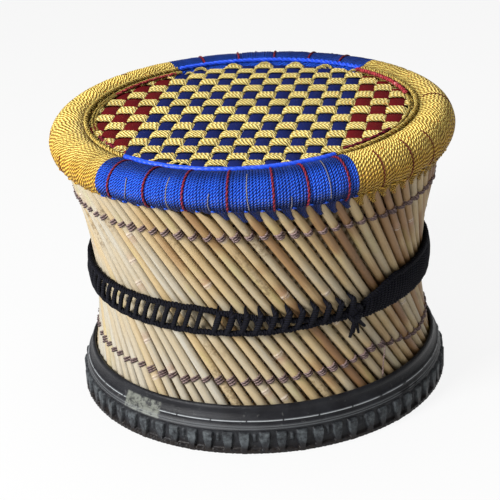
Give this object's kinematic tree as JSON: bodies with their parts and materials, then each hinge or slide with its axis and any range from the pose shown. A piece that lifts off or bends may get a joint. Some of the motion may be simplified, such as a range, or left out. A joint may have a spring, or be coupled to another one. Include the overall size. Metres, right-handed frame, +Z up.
{
  "type": "mudda stool",
  "caption": "Round mudda stool of crossed leaning canes on a cut tyre base, with a rope-wound blue and gold rim, a woven checked seat and a dark waist band.",
  "frame": {"origin": "centre of the base on the floor", "axes": "+Z up through the stool, -Y towards the front blue stretch of the rim, +X to its right seen from the front"},
  "size_m": [0.4056, 0.4095, 0.2938],
  "materials": {
    "tyre": "worn black tyre rubber with a dusty bloom and a raised pale sidewall line",
    "hoop_wood": "plain split bamboo hoop",
    "outer_cane": "smooth straw-coloured cane with nodes, browner streaks and cut ends",
    "inner_cane": "smooth cane, darker in the shade of the outer layer",
    "twine": "dull brown twisted jute twine",
    "navy_cord": "matt near-black navy twisted cord",
    "straw": "bundled straw",
    "blue_rope": "silky royal blue twisted rope",
    "gold_rope": "golden twisted rope with reddish flecks",
    "red_cord": "red twisted cord",
    "weft_gold": "pale gold twisted rope laid side by side in flat straps",
    "warp_blue": "flat navy blue strips",
    "warp_red": "flat dark red strips"
  },
  "bodies": {
    "root": {"tyre_base": "tyre", "base_hoop": "hoop_wood", "outer_canes_01": "outer_cane", "outer_canes_02": "outer_cane", "outer_canes_03": "outer_cane", "outer_canes_04": "outer_cane", "outer_canes_05": "outer_cane", "outer_canes_06": "outer_cane", "outer_canes_07": "outer_cane", "outer_canes_08": "outer_cane", "outer_canes_09": "outer_cane", "outer_canes_10": "outer_cane", "outer_canes_11": "outer_cane", "outer_canes_12": "outer_cane", "inner_canes_01": "inner_cane", "inner_canes_02": "inner_cane", "inner_canes_03": "inner_cane", "inner_canes_04": "inner_cane", "inner_canes_05": "inner_cane", "inner_canes_06": "inner_cane", "inner_canes_07": "inner_cane", "inner_canes_08": "inner_cane", "inner_canes_09": "inner_cane", "inner_canes_10": "inner_cane", "inner_canes_11": "inner_cane", "inner_canes_12": "inner_cane", "upper_twine": "twine", "lower_twine": "twine", "waist_ladder": "navy_cord", "waist_strap": "navy_cord", "waist_knot": "navy_cord", "rim_core": "straw", "rim_rope_front_blue": "blue_rope", "rim_rope_rear_blue": "blue_rope", "rim_rope_right_gold": "gold_rope", "rim_rope_left_gold": "gold_rope", "front_tracer_1": "red_cord", "front_tracer_2": "red_cord", "front_tracer_3": "red_cord", "front_tracer_4": "red_cord", "front_tracer_5": "red_cord", "front_tracer_6": "red_cord", "front_tracer_7": "red_cord", "rear_tracer_1": "red_cord", "rear_tracer_2": "red_cord", "rear_tracer_3": "red_cord", "rear_tracer_4": "red_cord", "rear_tracer_5": "red_cord", "seat_hoop": "hoop_wood", "seat_weft_gold": "weft_gold", "seat_warp_blue": "warp_blue", "seat_warp_red_left": "warp_red", "seat_warp_red_right": "warp_red", "seat_piping_front_blue": "blue_rope", "seat_piping_rear_blue": "blue_rope", "seat_piping_right_gold": "gold_rope", "seat_piping_left_gold": "gold_rope", "lacing_rear_right": "red_cord", "lacing_front_left": "red_cord", "lacing_front_right": "red_cord"}
  },
  "joints": []
}
